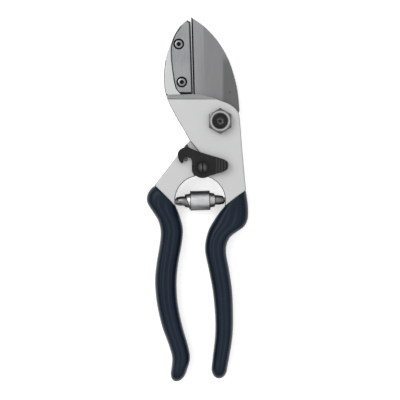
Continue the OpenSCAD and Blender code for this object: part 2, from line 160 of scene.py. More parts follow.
def build_grain(tree, ins):
    """Fine blasted or moulded grain with a broad, weak mottle."""
    fine = noise(tree, ins["Vector"], ins["Fine Scale"], 4.0, 0.6)
    broad = noise(tree, ins["Vector"], ins["Broad Scale"], 2.0, 0.5)
    tone = weighed(tree, fine, 0.35, broad, 0.65)
    return {"Tone": span(tree, tone, 0.3, 0.7), "Rough": span(tree, broad, 0.25, 0.75),
            "Height": fine}


def build_lines(tree, ins):
    """Fine parallel grinding lines along the stretched axis of the given vector."""
    streak = noise(tree, ins["Vector"], ins["Scale"], 5.0, 0.62)
    soft = noise(tree, ins["Vector"], maths(tree, "MULTIPLY", ins["Scale"], 0.16), 2.0, 0.5)
    tone = weighed(tree, streak, 0.82, soft, 0.18)
    return {"Tone": span(tree, tone, 0.25, 0.75), "Rough": span(tree, soft, 0.2, 0.8),
            "Height": streak}


def build_side(tree, ins):
    """1 on walls and rounded edges, 0 on faces that lie flat; the materials darken it as painted
    shade.
    """
    where = add(tree, "ShaderNodeTexCoord")
    up = add(tree, "ShaderNodeSeparateXYZ", {0: where.outputs["Normal"]}).outputs["Z"]
    return {"Mask": span(tree, maths(tree, "ABSOLUTE", up), ins["Flat From"], ins["Wall From"])}


def build_marks(tree, ins):
    """Short hairline scuffs and handling smudges."""
    bent = add(tree, "ShaderNodeMapping", {
        "Vector": ins["Vector"], "Rotation": (0.0, 0.0, 0.6), "Scale": (1.0, 7.0, 1.0)}).outputs[0]
    hair = noise(tree, bent, ins["Scale"], 6.0, 0.7)
    smudge = noise(tree, ins["Vector"], maths(tree, "MULTIPLY", ins["Scale"], 0.22), 3.0, 0.6)
    return {"Hairs": span(tree, hair, 0.62, 0.7), "Smudge": span(tree, smudge, 0.42, 0.66)}


V, F = "NodeSocketVector", "NodeSocketFloat"
grain = effect("surface_grain",
               [("Vector", V, None), ("Fine Scale", F, 2500.0), ("Broad Scale", F, 60.0)],
               [("Tone", F), ("Rough", F), ("Height", F)], build_grain)
lines = effect("grinding_lines", [("Vector", V, None), ("Scale", F, 900.0)],
               [("Tone", F), ("Rough", F), ("Height", F)], build_lines)
side = effect("wall_mask", [("Flat From", F, 0.97), ("Wall From", F, 0.6)], [("Mask", F)], build_side)
marks = effect("handling_marks", [("Vector", V, None), ("Scale", F, 160.0)],
               [("Hairs", F), ("Smudge", F)], build_marks)


class Finish:
    """A material with one Principled BSDF and helpers that place the shared effects."""

    def __init__(self, name, **constants):
        self.material = bpy.data.materials.new(name)
        self.material.use_nodes = True
        self.tree = self.material.node_tree
        self.bsdf = self.tree.nodes["Principled BSDF"]
        for key, value in constants.items():
            self.bsdf.inputs[key.replace("_", " ")].default_value = value
        self.place = add(self.tree, "ShaderNodeTexCoord").outputs["Object"]

    def use(self, group, **values):
        inputs = {key.replace("_", " "): value for key, value in values.items()}
        made = self.tree.nodes.new("ShaderNodeGroup")
        made.node_tree = group
        if "Vector" in made.inputs and "Vector" not in inputs:
            inputs["Vector"] = self.place
        feed(self.tree, made, inputs)
        return made.outputs

    def stretched(self, scale, turn=0.0):
        """The place scaled along each axis, after a turn in radians about Z."""
        return add(self.tree, "ShaderNodeMapping", {
            "Vector": self.place, "Scale": scale, "Rotation": (0.0, 0.0, turn)}).outputs[0]

    def axis(self, letter):
        return add(self.tree, "ShaderNodeSeparateXYZ", {0: self.place}).outputs[letter]

    def ring(self, at, inner, outer, soft):
        """1 between two radii round a vertical axis; an inner one below 0 makes a disc."""
        from_it = add(self.tree, "ShaderNodeVectorMath", {
            0: self.place, 1: (at[0] * MM, at[1] * MM, 0.0)}, operation="SUBTRACT").outputs[0]
        flat = add(self.tree, "ShaderNodeVectorMath", {
            0: from_it, 1: (1.0, 1.0, 0.0)}, operation="MULTIPLY").outputs[0]
        r = add(self.tree, "ShaderNodeVectorMath", {0: flat}, operation="LENGTH").outputs["Value"]
        past = span(self.tree, r, (inner - soft) * MM, (inner + soft) * MM)
        within = span(self.tree, r, (outer + soft) * MM, (outer - soft) * MM)
        return self.both(past, within)

    def both(self, a, b):
        """One mask times another, or times a share."""
        return maths(self.tree, "MULTIPLY", a, b)

    def weighed(self, a, share_a, b, share_b):
        return weighed(self.tree, a, share_a, b, share_b)

    def painted(self, name):
        """A value stored on the piece's own points."""
        return add(self.tree, "ShaderNodeAttribute", attribute_name=name).outputs["Fac"]

    def mix(self, mask, a, b):
        """Colour a where the mask is 0 and b where it is 1, by the Mix node's colour sockets."""
        return add(self.tree, "ShaderNodeMix", {0: mask, 6: a, 7: b},
                   data_type="RGBA", blend_type="MIX").outputs[2]

    def colour(self, value):
        self.tree.links.new(value, self.bsdf.inputs["Base Color"])

    def below(self, z, soft=0.15):
        """1 under the height z, 0 above it."""
        return span(self.tree, self.axis("Z"), (z + soft) * MM, (z - soft) * MM)

    def rough(self, value, a, b):
        """Roughness from a to b as the value goes from 0 to 1."""
        self.tree.links.new(span(self.tree, value, 0.0, 1.0, a, b, smooth=False),
                            self.bsdf.inputs["Roughness"])

    def bump(self, height, depth, strength):
        made = add(self.tree, "ShaderNodeBump", {
            "Height": height, "Distance": depth * MM, "Strength": strength})
        self.tree.links.new(made.outputs[0], self.bsdf.inputs["Normal"])


def grey(value, warm=0.0):
    """A grey as a colour; a warm below 0 makes it bluer."""
    return (value * (1 + warm), value, value * (1 - warm), 1.0)


def forged_aluminium():
    f = Finish("forged_aluminium", Metallic=0.4, Roughness=0.55)
    g = f.use(grain, Fine_Scale=2600.0, Broad_Scale=55.0)
    wall_shade = f.use(side, Flat_From=0.975, Wall_From=0.45)["Mask"]
    scuffs = f.use(marks, Scale=120.0)
    base = f.mix(g["Tone"], grey(0.555, -0.006), grey(0.6, -0.006))
    # Painted shade darkens the walls and rounded edges
    base = f.mix(wall_shade, base, grey(0.17, -0.006))
    base = f.mix(f.both(scuffs["Hairs"], 0.25), base, grey(0.8))
    f.colour(base)
    f.rough(f.weighed(g["Rough"], 0.5, scuffs["Smudge"], 0.5), 0.42, 0.6)
    f.bump(g["Height"], 0.03, 0.6)
    return f.material


# Painted shade darkens the blade to the right between these X and downwards between these Y, where
# its grind slopes away to the spine
SHADED_X = (0.8, 2.6)
SHADED_Y = (41, 33)


def ground_blade():
    f = Finish("ground_blade_steel", Metallic=0.9, Roughness=0.4)
    l = f.use(lines, Vector=f.stretched((1.0, 0.035, 1.0)), Scale=1600.0)
    scuffs = f.use(marks, Scale=200.0)
    wall_shade = f.use(side, Flat_From=0.98, Wall_From=0.8)["Mask"]
    base = f.mix(l["Tone"], grey(0.198, -0.01), grey(0.222, -0.01))
    right = span(f.tree, f.axis("X"), SHADED_X[0] * MM, SHADED_X[1] * MM)
    lower = span(f.tree, f.axis("Y"), SHADED_Y[0] * MM, SHADED_Y[1] * MM)
    # Painted shade where the grind slopes away to the spine
    base = f.mix(f.both(f.both(right, lower), 0.75), base, grey(0.105, -0.01))
    # Painted shade darkens the walls and rounded edges
    base = f.mix(wall_shade, base, grey(0.06, -0.02))
    f.colour(base)
    f.rough(f.weighed(l["Rough"], 0.7, scuffs["Smudge"], 0.3), 0.34, 0.52)
    f.bump(l["Height"], 0.02, 0.5)
    return f.material


# An inner radius that makes a ring a disc
DISC = -1.0
# How far below the anvil's face the painted shade in its counterbores starts
SHADE_DOWN = 0.9


def anvil_steel():
    f = Finish("milled_anvil_steel", Metallic=0.9, Roughness=0.36)
    l = f.use(lines, Vector=f.stretched((1.0, 0.05, 1.0), 0.05), Scale=1300.0)
    g = f.use(grain, Fine_Scale=1500.0, Broad_Scale=90.0)
    wall_shade = f.use(side, Flat_From=0.97, Wall_From=0.7)["Mask"]
    base = f.mix(l["Tone"], grey(0.24, -0.04), grey(0.31, -0.03))
    base = f.mix(f.both(g["Tone"], 0.5), base, grey(0.36, -0.02))
    # Painted shade darkens the walls and rounded edges
    base = f.mix(wall_shade, base, grey(0.10, -0.02))
    # Painted shade fills the two counterbores, from a little below the working face
    upper, lower = [f.ring(at, DISC, HEAD_BORE + 0.15, 0.1) for at in SCREWS]
    bores = f.both(f.below(anvil_high.z - SHADE_DOWN), maths(f.tree, "MAXIMUM", upper, lower))
    base = f.mix(bores, base, grey(0.012))
    f.colour(base)
    f.rough(g["Rough"], 0.28, 0.48)
    f.bump(l["Height"], 0.02, 0.4)
    return f.material


# Grey of bright steel, and the radii between which the nut's corners lie and take painted shade
BRIGHT = 0.42
NUT_CORNER_SHADE = (5.75, 9.0)


def bright_steel():
    f = Finish("bright_steel", Metallic=1.0, Roughness=0.3)
    g = f.use(grain, Fine_Scale=1800.0, Broad_Scale=240.0)
    scuffs = f.use(marks, Scale=420.0)
    wall_shade = f.use(side, Flat_From=0.97, Wall_From=0.5)["Mask"]
    base = f.mix(g["Tone"], grey(BRIGHT * 0.88, -0.01), grey(BRIGHT, -0.01))
    # Painted shade darkens the walls and rounded edges
    base = f.mix(wall_shade, base, grey(BRIGHT * 0.6, -0.01))
    # The nut's corners are turned down past its bright face, and painted shade darkens them
    base = f.mix(f.ring(pivot_at, *NUT_CORNER_SHADE, 0.35), base, grey(BRIGHT * 0.3, -0.01))
    base = f.mix(f.both(scuffs["Hairs"], 0.3), base, grey(BRIGHT * 0.5))
    f.colour(base)
    f.rough(scuffs["Smudge"], 0.22, 0.42)
    f.bump(g["Height"], 0.015, 0.5)
    return f.material


def cap_screw_steel():
    f = Finish("cap_screw_steel", Metallic=1.0, Roughness=0.3)
    g = f.use(grain, Fine_Scale=1500.0, Broad_Scale=300.0)
    scuffs = f.use(marks, Scale=600.0)
    base = f.mix(g["Tone"], grey(0.24, -0.01), grey(0.36, -0.01))
    base = f.mix(scuffs["Smudge"], base, grey(0.2))
    # Painted shade darkens each screw from a little under the anvil's face down: lower head, shank
    # and socket floor
    base = f.mix(f.below(anvil_high.z - SHADE_DOWN - 0.1), base, grey(0.012))
    f.colour(base)
    f.rough(scuffs["Smudge"], 0.24, 0.42)
    f.bump(g["Height"], 0.02, 0.5)
    return f.material


# Radii of the darker ring round the catch's screw
DARK_RING = (2.6, 4.4)
# The lever's thumb pad starts between these Y, and carries a painted highlight between these depths
# below its top
PAD_Y = (-20.5, -21.5)
PAD_HIGHLIGHT = (0.35, 0.05)
# Radii of the ring of painted light on the floor of the bolt's socket
SOCKET_LIGHT_RING = (1.0, 2.5)


def black_steel(name="black_oxide_steel", socket_floor=None):
    f = Finish(name, Roughness=0.4, Specular_IOR_Level=0.22)
    g = f.use(grain, Fine_Scale=2000.0, Broad_Scale=150.0)
    scuffs = f.use(marks, Scale=300.0)
    base = f.mix(g["Tone"], grey(0.006), grey(0.012, -0.02))
    base = f.mix(f.both(scuffs["Hairs"], 0.5), base, grey(0.09))
    # The ring round the catch's screw is painted darker
    base = f.mix(f.ring(catch_at, *DARK_RING, 0.25), base, grey(0.0025))
    # A painted highlight lightens the top of the thumb pad to a softer grey
    pad_highlight = span(f.tree, f.axis("Z"), (pad_top - PAD_HIGHLIGHT[0]) * MM, (pad_top - PAD_HIGHLIGHT[1]) * MM)
    near_pad = span(f.tree, f.axis("Y"), PAD_Y[0] * MM, PAD_Y[1] * MM)
    base = f.mix(f.both(f.both(pad_highlight, near_pad), 0.85), base, grey(0.036))
    if socket_floor:
        # Painted light brightens the floor of the bolt's socket, round a drilled centre
        above = maths(f.tree, "SUBTRACT", 1.0, f.below(socket_floor - 0.3))
        floor = f.both(f.below(socket_floor + 0.3), above)
        base = f.mix(f.both(floor, f.ring(pivot_at, *SOCKET_LIGHT_RING, 0.3)), base, grey(0.2))
    f.colour(base)
    f.rough(g["Rough"], 0.26, 0.44)
    f.bump(g["Height"], 0.04, 0.7)
    return f.material


def phosphated_steel(name, shade_below, highlight_at):
    """Dark grey finish of the slotted screw's head and of the catch's pin, with a painted highlight
    in the middle and painted shade low down.
    """
    f = Finish(name, Metallic=0.8, Roughness=0.4)
    g = f.use(grain, Fine_Scale=1400.0, Broad_Scale=260.0)
    scuffs = f.use(marks, Scale=500.0)
    base = f.mix(g["Tone"], grey(0.03), grey(0.055))
    # A painted highlight lightens the middle of the screw's head and of the pin
    base = f.mix(f.ring(highlight_at, DISC, 1.4, 0.9), base, grey(0.13))
    base = f.mix(f.both(scuffs["Hairs"], 0.5), base, grey(0.2))
    # Painted shade darkens the screw's slot and head below its top, and the foot of the pin
    base = f.mix(f.below(shade_below, 0.1), base, grey(0.008))
    f.colour(base)
    f.rough(g["Rough"], 0.3, 0.5)
    f.bump(g["Height"], 0.03, 0.6)
    return f.material


def bronze():
    f = Finish("bush_bronze", Metallic=1.0, Roughness=0.35)
    g = f.use(grain, Fine_Scale=1600.0, Broad_Scale=200.0)
    f.colour(f.mix(g["Tone"], (0.36, 0.22, 0.09, 1.0), (0.46, 0.3, 0.14, 1.0)))
    f.rough(g["Rough"], 0.28, 0.45)
    f.bump(g["Height"], 0.01, 0.5)
    return f.material


# Where the strip's dark ends begin along it and its darker edges across it, in its own u and s
DARK_ENDS = (0.4, 0.62)
DARK_EDGES = (0.45, 0.48)


def spring_steel():
    f = Finish("rolled_spring_steel", Metallic=1.0, Roughness=0.22)
    l = f.use(lines, Vector=f.stretched((0.2, 1.0, 1.0)), Scale=900.0)
    scuffs = f.use(marks, Scale=260.0)
    slope_shade = f.use(side, Flat_From=0.95, Wall_From=0.4)["Mask"]
    base = f.mix(l["Tone"], grey(0.48, -0.01), grey(0.74, -0.01))
    base = f.mix(f.both(scuffs["Smudge"], 0.5), base, grey(0.26, -0.01))
    ends = span(f.tree, maths(f.tree, "ABSOLUTE", f.painted("along")), *DARK_ENDS)
    base = f.mix(ends, base, grey(0.2, -0.01))
    # Painted shade darkens the strip's sloping faces and sides
    base = f.mix(slope_shade, base, grey(0.06))
    # The two edges of the strip are painted darker
    edge = span(f.tree, maths(f.tree, "ABSOLUTE", f.painted("across")), *DARK_EDGES)
    base = f.mix(edge, base, grey(0.05))
    f.colour(base)
    f.rough(l["Rough"], 0.26, 0.44)
    f.bump(l["Height"], 0.01, 0.5)
    return f.material


def grip_vinyl():
    f = Finish("dipped_vinyl", Roughness=0.4, Specular_IOR_Level=0.18)
    g = f.use(grain, Fine_Scale=900.0, Broad_Scale=45.0)
    scuffs = f.use(marks, Scale=90.0)
    base = f.mix(g["Tone"], (0.0022, 0.0085, 0.0195, 1.0), (0.0038, 0.0118, 0.025, 1.0))
    # Painted highlight along the two ribs of the channel
    base = f.mix(f.both(f.painted("rib_highlight"), 0.7), base, (0.016, 0.031, 0.05, 1.0))
    base = f.mix(f.both(scuffs["Hairs"], 0.12), base, (0.05, 0.06, 0.08, 1.0))
    f.colour(base)
    f.rough(f.weighed(g["Rough"], 0.6, scuffs["Smudge"], 0.4), 0.26, 0.42)
    f.bump(g["Height"], 0.05, 0.5)
    return f.material


# ---- Meshes ------------------------------------------------------------------

def loose_copy(node, least=0.002):
    """The CAD node's mesh with its doubles merged and its flat faces whole."""
    bm = bmesh.new()
    bm.from_mesh(nodes[node].data)
    bmesh.ops.remove_doubles(bm, verts=bm.verts, dist=least * MM)
    bmesh.ops.dissolve_limit(bm, angle_limit=math.radians(0.5), verts=bm.verts, edges=bm.edges)
    return bm


def mid(edge):
    return (edge.verts[0].co + edge.verts[1].co) / 2 / MM


def level(z, slack=0.05):
    """Chooses edges that lie flat at height z."""
    return lambda e: all(abs(v.co.z / MM - z) < slack for v in e.verts)


def off(e, at):
    """How far the edge's middle is from a vertical axis."""
    return math.hypot(mid(e).x - at[0], mid(e).y - at[1])


def from_axis(at, radius, slack=0.15):
    """Chooses edges on a circle round a vertical axis."""
    return lambda e: abs(off(e, at) - radius) < slack


def round_edges(bm, width, chosen, segments, least=30, clamp=True):
    """Rounds the convex edges that chosen(edge) picks, width across.  Only edges that
    turn more than least degrees count, and clamp keeps the bevel inside its faces."""
    found = [e for e in bm.edges if len(e.link_faces) == 2 and e.is_convex
             and e.calc_face_angle(0.0) > math.radians(least) and chosen(e)]
    if found:
        bmesh.ops.bevel(bm, geom=found, offset=width * MM, offset_type="OFFSET",
                        segments=segments, profile=0.5, affect="EDGES", clamp_overlap=clamp,
                        loop_slide=False)


def piece(name, bm, body, slot, material, *replaced, smooth=30):
    """Turns the bmesh into a finished piece that rides on its body."""
    bmesh.ops.dissolve_degenerate(bm, dist=0.01 * MM, edges=bm.edges)
    bmesh.ops.dissolve_limit(bm, angle_limit=math.radians(0.4), verts=bm.verts, edges=bm.edges)
    mesh = bpy.data.meshes.new(name)
    bm.to_mesh(mesh)
    bm.free()
    finished(name, mesh, body, slot, material, *replaced, smooth=smooth)


def finished(name, mesh, body, slot, material, *replaced, smooth=30, weighted=True):
    """A piece made of the mesh; without a body it rides on none."""
    mesh.materials.clear()
    mesh.materials.append(material)
    for p in mesh.polygons:
        p.use_smooth = True
    mesh.set_sharp_from_angle(angle=math.radians(smooth))
    made = bpy.data.objects.new(name, mesh)
    bpy.context.scene.collection.objects.link(made)
    if weighted:
        made.modifiers.new("even_normals", "WEIGHTED_NORMAL").keep_sharp = True
        made.data = plain_mesh(made)
        made.modifiers.clear()
    if body:
        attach(made, body)
    if replaced:
        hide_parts(*replaced)
    return made


def plain_mesh(made):
    """The object's mesh as its modifiers leave it."""
    bpy.context.view_layer.update()
    graph = bpy.context.evaluated_depsgraph_get()
    return bpy.data.meshes.new_from_object(made.evaluated_get(graph), depsgraph=graph)


# ---- Materials ---------------------------------------------------------------

# Painted shade darkens the catch screw from this far below its top, and the peg up to this far off
# the casting
SLOT_SHADE = 0.62
PEG_SHADE = 0.2

aluminium = forged_aluminium()
blade_steel = ground_blade()
anvil_metal = anvil_steel()
nut_steel = bright_steel()
blacked = black_steel()
bolt_steel = black_steel("bolt_black_steel", nut_top - SOCKET_DEEP)
screw_steel = cap_screw_steel()
grey_steel = phosphated_steel("phosphated_steel", screw_top - SLOT_SHADE, catch_at)
pin_steel = phosphated_steel("pin_steel", face_z + PEG_SHADE, peg_at)
bush_metal = bronze()
coil_steel = spring_steel()
vinyl = grip_vinyl()


# ---- Castings and plates -----------------------------------------------------

# Doubles closer than this are merged in a casting, so that its rounds stay whole
CASTING_MERGE = 0.12
# Height of the jaw's rim over the anvil, and the roundings of its outside and inside
RIM_OVER = 0.6
RIM_ROUND = 1.4
RIM_INSIDE = 0.25
# The rim's outside is what lies this far off the anvil, below this Y
RIM_WALL = 1.5
RIM_END_Y = 36
# Rounding of both castings
CASTING_ROUND = 0.8
# Edges within these radii of the pivot, the catch's screw and its peg stay sharp
PIVOT_CLEAR = 9
CATCH_CLEAR = 4
PEG_CLEAR = 1.6
# Rounding of the blade, outside its root, which ends at this X and Y
BLADE_ROUND = 0.35
ROOT_X = -12
ROOT_Y = 5
# Chamfer of the anvil along its cut and its lower end, the X past which the cut lies
# and how near an edge is to the lower end; then the rounding of the rest
CUT_CHAMFER = 1.1
CUT_X = -18.2
END_NEAR = 0.5
ANVIL_ROUND = 0.3


def outer_jaw(e):
    """On the outside of the jaw, where its rim is broad."""
    return mid(e).x < anvil_low.x - RIM_WALL and mid(e).y < RIM_END_Y


def near_hole(e):
    return off(e, pivot_at) < PIVOT_CLEAR or off(e, catch_at) < CATCH_CLEAR


def anvil_forging():
    bm = loose_copy("anvil_arm_casting", CASTING_MERGE)
    jaw = level(anvil_high.z + RIM_OVER)
    round_edges(bm, RIM_ROUND, lambda e: jaw(e) and outer_jaw(e), 5, clamp=False)
    round_edges(bm, RIM_INSIDE, lambda e: jaw(e) and not outer_jaw(e), 2)
    for z, steps in ((face_z, 4), (back_z, 3)):
        flat = level(z)
        round_edges(bm, CASTING_ROUND, lambda e: flat(e) and not near_hole(e), steps, clamp=False)
    piece("anvil_arm_forging", bm, "anvil_arm", "forged_aluminium", aluminium,
          "anvil_arm_casting")


def blade_forging():
    bm = loose_copy("blade_arm_casting", CASTING_MERGE)
    for z, steps in ((face_z, 4), (back_z, 3)):
        flat = level(z)
        round_edges(bm, CASTING_ROUND, lambda e: flat(e) and not near_hole(e)
                    and off(e, peg_at) > PEG_CLEAR, steps, clamp=False)
    piece("blade_arm_forging", bm, "blade_arm", "forged_aluminium", aluminium,
          "blade_arm_casting")


def blade():
    bm = loose_copy("blade")
    for z in (blade_top, blade_low):
        flat = level(z)
        round_edges(bm, BLADE_ROUND,
                    lambda e: flat(e) and mid(e).y > ROOT_Y and mid(e).x > ROOT_X, 2)
    piece("ground_blade", bm, "blade_arm", "blade_steel", blade_steel, "blade", smooth=12)


def anvil_insert():
    bm = loose_copy("anvil_plate")
    flat = level(anvil_high.z)
    bores = [from_axis(at, HEAD_BORE) for at in SCREWS]

    def worked(e):
        cut = mid(e).x > CUT_X or mid(e).y < anvil_low.y + END_NEAR
        return flat(e) and cut and not any(bore(e) for bore in bores)

    round_edges(bm, CUT_CHAMFER, worked, 1)
    round_edges(bm, ANVIL_ROUND, flat, 3)
    piece("anvil_insert", bm, "anvil_arm", "anvil_steel", anvil_metal, "anvil_plate")


anvil_forging()
blade_forging()
blade()
anvil_insert()


# ---- Pivot -------------------------------------------------------------------

# Rounding of the nut, above its foot, and of the two ends of the bolt
NUT_ROUND = 0.18
NUT_FOOT = 0.5
BOLT_END_ROUND = 0.35
BOLT_HEAD_ROUND = 0.6


def nut():
    bm = loose_copy("pivot_nut")
    round_edges(bm, NUT_ROUND, lambda e: mid(e).z > face_z + NUT_FOOT, 2, least=20)
    piece("pivot_nut_hex", bm, "anvil_arm", "bright_steel", nut_steel, "pivot_nut")


def bolt():
    bm = loose_copy("pivot_bolt")
    round_edges(bm, BOLT_END_ROUND, level(bolt_top), 3)
    round_edges(bm, BOLT_HEAD_ROUND, level(0.0), 4)
    piece("pivot_bolt_black", bm, "anvil_arm", "black_steel", bolt_steel, "pivot_bolt")


nut()
bolt()


# ---- Catch -------------------------------------------------------------------

# Doubles closer than this are merged in the lever, whose upper edges start this high
# above its underside
LEVER_MERGE = 0.06
LEVER_UPPER = 2.2
# Roundings of its upper and lower edges, of its screw and of its peg
LEVER_ROUND = 0.28
LEVER_LOW_ROUND = 0.2
SCREW_ROUND = 0.6
PEG_ROUND = 0.3


def lever():
    bm = loose_copy("catch_lever", LEVER_MERGE)
    round_edges(bm, LEVER_ROUND, lambda e: mid(e).z > lever_low + LEVER_UPPER, 3)
    round_edges(bm, LEVER_LOW_ROUND, level(lever_low), 2)
    piece("catch_lever_cast", bm, "catch", "black_steel", blacked, "catch_lever")


def catch_screw():
    bm = loose_copy("catch_screw")
    round_edges(bm, SCREW_ROUND, level(screw_top), 4)
    piece("catch_screw_slotted", bm, "anvil_arm", "black_steel", grey_steel, "catch_screw")


def catch_pin():
    bm = loose_copy("catch_peg")
    round_edges(bm, PEG_ROUND, level(high("catch_peg").z), 3)
    piece("catch_pin", bm, "blade_arm", "black_steel", pin_steel, "catch_peg")


def spacer():
    bm = loose_copy("catch_washer")
    piece("catch_spacer", bm, "anvil_arm", "black_steel", blacked, "catch_washer")


lever()
catch_screw()
catch_pin()
spacer()


# ---- Anvil screws ------------------------------------------------------------

# Radius of the screws' shanks, height of their heads, and their rounded rim as
# distances in from the side and down from the top
SHANK = 1.5
HEAD_HIGH = 1.7
HEAD_RIM = ((0.0, 0.35), (0.1, 0.12), (0.35, 0.0))
# Their sockets across flats and deep, and the points round each screw
KEY = 2.4
KEY_DEEP = 1.2
SIDES = 48


def skin(bm, a, b):
    """A band of faces between two rings of as many points."""
    n = len(a)
    for i in range(n):
        bm.faces.new((a[i], a[(i + 1) % n], b[(i + 1) % n], b[i]))


def screw_master():
    """One cap screw with a hexagon socket, its axis on Z and its head standing on Z = 0."""
    down = anvil_high.z - BORE_DEEP - screws_low.z
    bm = bmesh.new()

    def circle(r, z):
        return [bm.verts.new((r * math.cos(math.tau * i / SIDES) * MM,
                              r * math.sin(math.tau * i / SIDES) * MM, z * MM))
                for i in range(SIDES)]

    rings = [circle(SHANK, -down), circle(SHANK, 0), circle(SCREW_HEAD, 0)]
    rings += [circle(SCREW_HEAD - inwards, HEAD_HIGH - drop) for inwards, drop in HEAD_RIM]
    for a, b in zip(rings, rings[1:]):
        skin(bm, a, b)
    bm.faces.new(list(reversed(rings[0])))
    # The top face steps in to the socket: each of its six sides takes eight of the rim's points
    lip = [bm.verts.new((x * MM, y * MM, HEAD_HIGH * MM)) for x, y in hexagon_points(KEY / 2, SIDES)]
    skin(bm, rings[-1], lip)
    floor = [bm.verts.new((v.co.x, v.co.y, (HEAD_HIGH - KEY_DEEP) * MM)) for v in lip]
    skin(bm, lip, floor)
    bm.faces.new(floor)
    mesh = bpy.data.meshes.new("cap_screw")
    bmesh.ops.recalc_face_normals(bm, faces=bm.faces)
    bm.to_mesh(mesh)
    bm.free()
    for p in mesh.polygons:
        p.use_smooth = True
    mesh.set_sharp_from_angle(angle=math.radians(30))
    master = bpy.data.objects.new("cap_screw", mesh)
    bpy.context.scene.collection.objects.link(master)
    return master


def hexagon_points(inner, n):
    """n points round a hexagon whose flats are inner from its middle."""
    points = []
    for i in range(n):
        a = math.tau * i / n
        b = (a + math.pi / 6) % (math.pi / 3) - math.pi / 6
        r = inner / math.cos(b)
        points.append((r * math.cos(a), r * math.sin(a)))
    return points


def tree_for_pieces(name, inputs):
    """A geometry tree with the named inputs, their sockets and its end node."""
    tree = bpy.data.node_groups.new(name, "GeometryNodeTree")
    start, end = sockets(tree, [("Geometry", "NodeSocketGeometry", None)] + inputs,
                         [("Geometry", "NodeSocketGeometry")])
    return tree, start.outputs, end


def close_tree(tree, end, geometry, material):
    """Every tree ends in Realize Instances and Set Material."""
    real = add(tree, "GeometryNodeRealizeInstances", {"Geometry": geometry}).outputs[0]
    done = add(tree, "GeometryNodeSetMaterial", {"Geometry": real, "Material": material}).outputs[0]
    tree.links.new(done, end.inputs[0])


def grow(name, tree, values, mesh=None):
    """Runs the tree with its named inputs set and returns the plain mesh."""
    made = bpy.data.objects.new(name, mesh or bpy.data.meshes.new(name))
    bpy.context.scene.collection.objects.link(made)
    modifier = made.modifiers.new("shape", "NODES")
    modifier.node_group = tree
    for item in tree.interface.items_tree:
        if item.in_out == "INPUT" and item.name in values:
            modifier[item.identifier] = values[item.name]
    result = plain_mesh(made)
    bpy.data.objects.remove(made)
    result.name = name
    return result


def cap_screws():
    """Both screws of the anvil: the master stands on a point over each hole."""
    master = screw_master()
    tree, ins, end = tree_for_pieces("screws_on_holes", [
        ("Screw", "NodeSocketObject", None)])
    info = add(tree, "GeometryNodeObjectInfo", {"Object": ins["Screw"]})
    on = add(tree, "GeometryNodeInstanceOnPoints", {
        "Points": ins["Geometry"], "Instance": info.outputs["Geometry"]})
    close_tree(tree, end, on.outputs[0], screw_steel)
    holes = bpy.data.meshes.new("holes")
    holes.from_pydata([(x * MM, y * MM, (anvil_high.z - BORE_DEEP) * MM)
                       for x, y in SCREWS], [], [])
    mesh = grow("anvil_cap_screws", tree, {"Screw": master}, holes)
    bpy.data.objects.remove(master)
    finished("anvil_cap_screws", mesh, "anvil_arm", "bright_steel", screw_steel,
             "anvil_screws")


cap_screws()


# ---- Volute spring -----------------------------------------------------------

def curve_of(tree, value, points):
    """A smooth line through the points as a function of value."""
    made = add(tree, "ShaderNodeFloatCurve", {"Value": value})
    line = made.mapping.curves[0]
    while len(line.points) < len(points):
        line.points.new(0.5, 0.5)
    for point, at in zip(line.points, points):
        point.location = at
    made.mapping.update()
    return made.outputs[0]


# Y of the spring's two ends, on the blade arm and on the anvil arm
BLADE_SEAT_Y = -46.6
ANVIL_SEAT_Y = -45.8
# The strip, its turns each way from the middle and its points along and across
STRIP_WIDTH = 11.5
STRIP_THICK = 0.75
TURNS = 2.6
STRIP_POINTS = (520, 9)
# How far its first half is drawn under the second, how much its outward edge leans in,
# and the turn of the whole spring about its own axis, in degrees
COIL_STEP = 0.05
TAPER = 0.2
SPRING_TURN = 35
# Along half of the strip, from its middle at 0 to its end at 1: the shares of the
# barrel's radius, of the half length and of the strip's width
RADIUS_LINE = [(0, 1), (0.25, 0.99), (0.42, 0.8), (0.6, 0.76), (0.72, 0.45), (1, 0.42)]
LENGTH_LINE = [(0, 0), (0.25, 0.05), (0.42, 0.27), (0.6, 0.33), (0.75, 0.74), (1, 0.80)]
WIDTH_LINE = [(0, 1), (0.3, 0.95), (0.75, 0.5), (1, 0.48)]
# The first half goes under the second within this much of the middle, and the outward
# edge begins to lean in between these places
CROSSING = 0.12
TAPER_IN = (0.12, 0.34)


